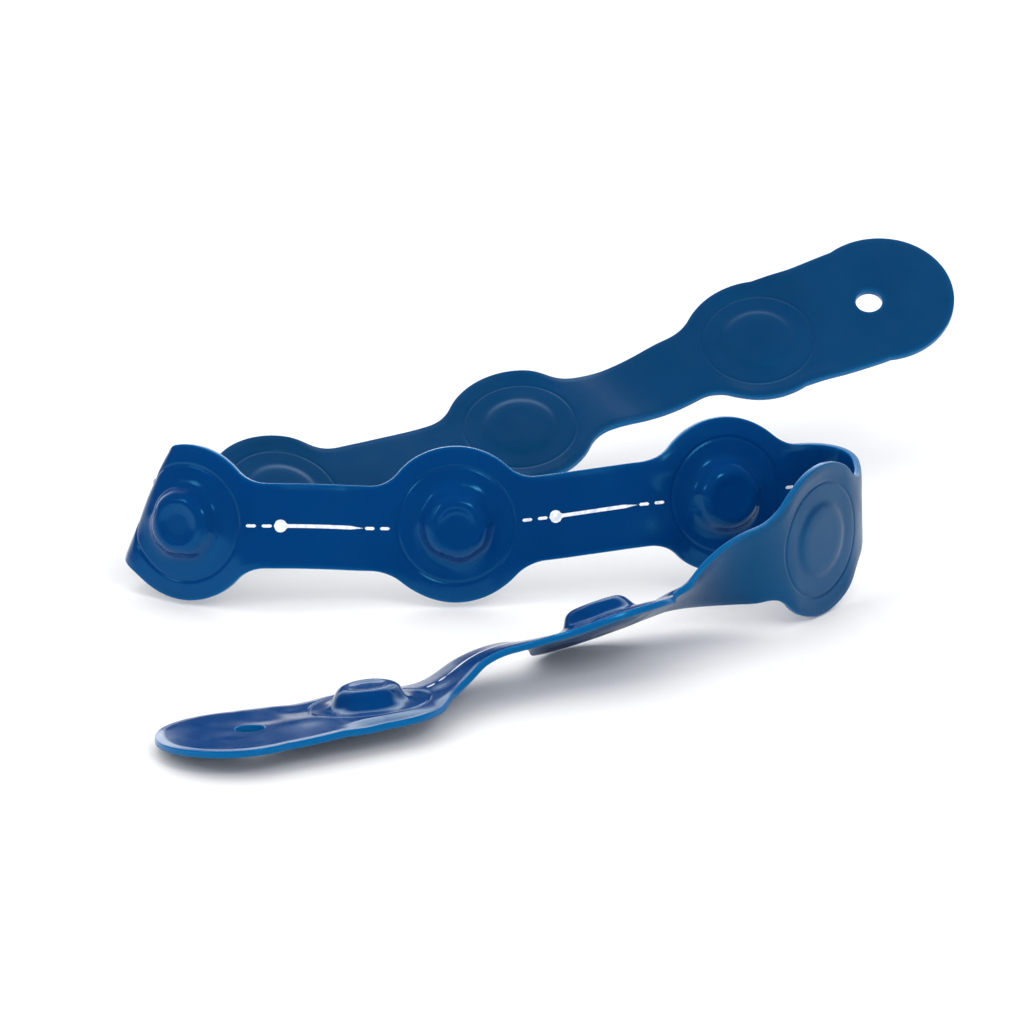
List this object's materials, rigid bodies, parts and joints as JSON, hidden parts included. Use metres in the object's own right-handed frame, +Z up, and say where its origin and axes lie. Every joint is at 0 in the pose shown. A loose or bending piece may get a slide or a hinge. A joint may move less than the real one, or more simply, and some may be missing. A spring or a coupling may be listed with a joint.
{
  "type": "magnetic wrist pin holder",
  "caption": "Limp soft-plastic wrist strap with a row of domed magnet pods for holding pins, and a punched hole in each rounded end tab.",
  "frame": {"origin": "on the table under the middle of the bounding box of the strap as it lies", "axes": "+Z up from the table; +Y from the front strand to the back strand, along the strap's longer side as it lies; +X to the right, along the middle strand"},
  "size_m": [0.2018, 0.2326, 0.0536],
  "materials": {
    "front_sheet": "glossy soft PVC, royal blue",
    "back_sheet": "semi-matte soft PVC, royal blue",
    "magnet": "nickel-plated disc magnet"
  },
  "bodies": {
    "tab_a": {"tab_a_front_skin": "front_sheet", "tab_a_back_skin": "back_sheet"},
    "pod_1": {"pod_1_front_skin": "front_sheet", "pod_1_back_skin": "back_sheet", "magnet_1": "magnet"},
    "pod_2": {"pod_2_front_skin": "front_sheet", "pod_2_back_skin": "back_sheet", "magnet_2": "magnet"},
    "pod_3": {"pod_3_front_skin": "front_sheet", "pod_3_back_skin": "back_sheet", "magnet_3": "magnet"},
    "pod_4": {"pod_4_front_skin": "front_sheet", "pod_4_back_skin": "back_sheet", "magnet_4": "magnet"},
    "pod_5": {"pod_5_front_skin": "front_sheet", "pod_5_back_skin": "back_sheet", "magnet_5": "magnet"},
    "pod_6": {"pod_6_front_skin": "front_sheet", "pod_6_back_skin": "back_sheet", "magnet_6": "magnet"},
    "pod_7": {"pod_7_front_skin": "front_sheet", "pod_7_back_skin": "back_sheet", "magnet_7": "magnet"},
    "pod_8": {"pod_8_front_skin": "front_sheet", "pod_8_back_skin": "back_sheet", "magnet_8": "magnet"},
    "pod_9": {"pod_9_front_skin": "front_sheet", "pod_9_back_skin": "back_sheet", "magnet_9": "magnet"},
    "tab_b": {"tab_b_front_skin": "front_sheet", "tab_b_back_skin": "back_sheet"}
  },
  "joints": [
    {"name": "neck_5_6_bend", "type": "hinge", "parent": "pod_5", "child": "pod_6", "pos_m": [0.01, -0.00068, 0.02208], "axis": [0.1415, -0.3568, -0.9234], "range_deg": [-60, 80]},
    {"name": "neck_6_7_bend", "type": "hinge", "parent": "pod_6", "child": "pod_7", "pos_m": [0.07005, 0.01781, 0.02133], "axis": [0.0607, -0.1317, 0.9894], "range_deg": [-10, 90]},
    {"name": "neck_7_8_bend", "type": "hinge", "parent": "pod_7", "child": "pod_8", "pos_m": [0.03728, -0.02828, 0.01483], "axis": [-0.0024, -0.6031, 0.7976], "range_deg": [-40, 85]},
    {"name": "neck_8_9_bend", "type": "hinge", "parent": "pod_8", "child": "pod_9", "pos_m": [-0.0157, -0.06363, 0.00952], "axis": [0.4049, -0.8427, 0.3549], "range_deg": [-85, 80]},
    {"name": "tab_b_bend", "type": "hinge", "parent": "pod_9", "child": "tab_b", "pos_m": [-0.05835, -0.09266, 0.00389], "axis": [0.4418, -0.8841, 0.152], "range_deg": [-85, 85]},
    {"name": "neck_4_5_bend", "type": "hinge", "parent": "pod_5", "child": "pod_4", "pos_m": [-0.05456, -0.00631, 0.02021], "axis": [-0.0232, -0.3792, -0.925], "range_deg": [-85, 15]},
    {"name": "neck_3_4_bend", "type": "hinge", "parent": "pod_4", "child": "pod_3", "pos_m": [-0.09162, 0.02314, 0.01107], "axis": [0.2103, -0.4622, -0.8615], "range_deg": [-90, 35]},
    {"name": "neck_2_3_bend", "type": "hinge", "parent": "pod_3", "child": "pod_2", "pos_m": [-0.03639, 0.05668, 0.01329], "axis": [0.4403, -0.7873, -0.4317], "range_deg": [-85, 85]},
    {"name": "neck_1_2_bend", "type": "hinge", "parent": "pod_2", "child": "pod_1", "pos_m": [0.02239, 0.08182, 0.02449], "axis": [0.4296, -0.8046, -0.41], "range_deg": [-85, 85]},
    {"name": "tab_a_bend", "type": "hinge", "parent": "pod_1", "child": "tab_a", "pos_m": [0.0705, 0.09688, 0.03882], "axis": [-0.3887, 0.7617, 0.5185], "range_deg": [-85, 85]}
  ]
}
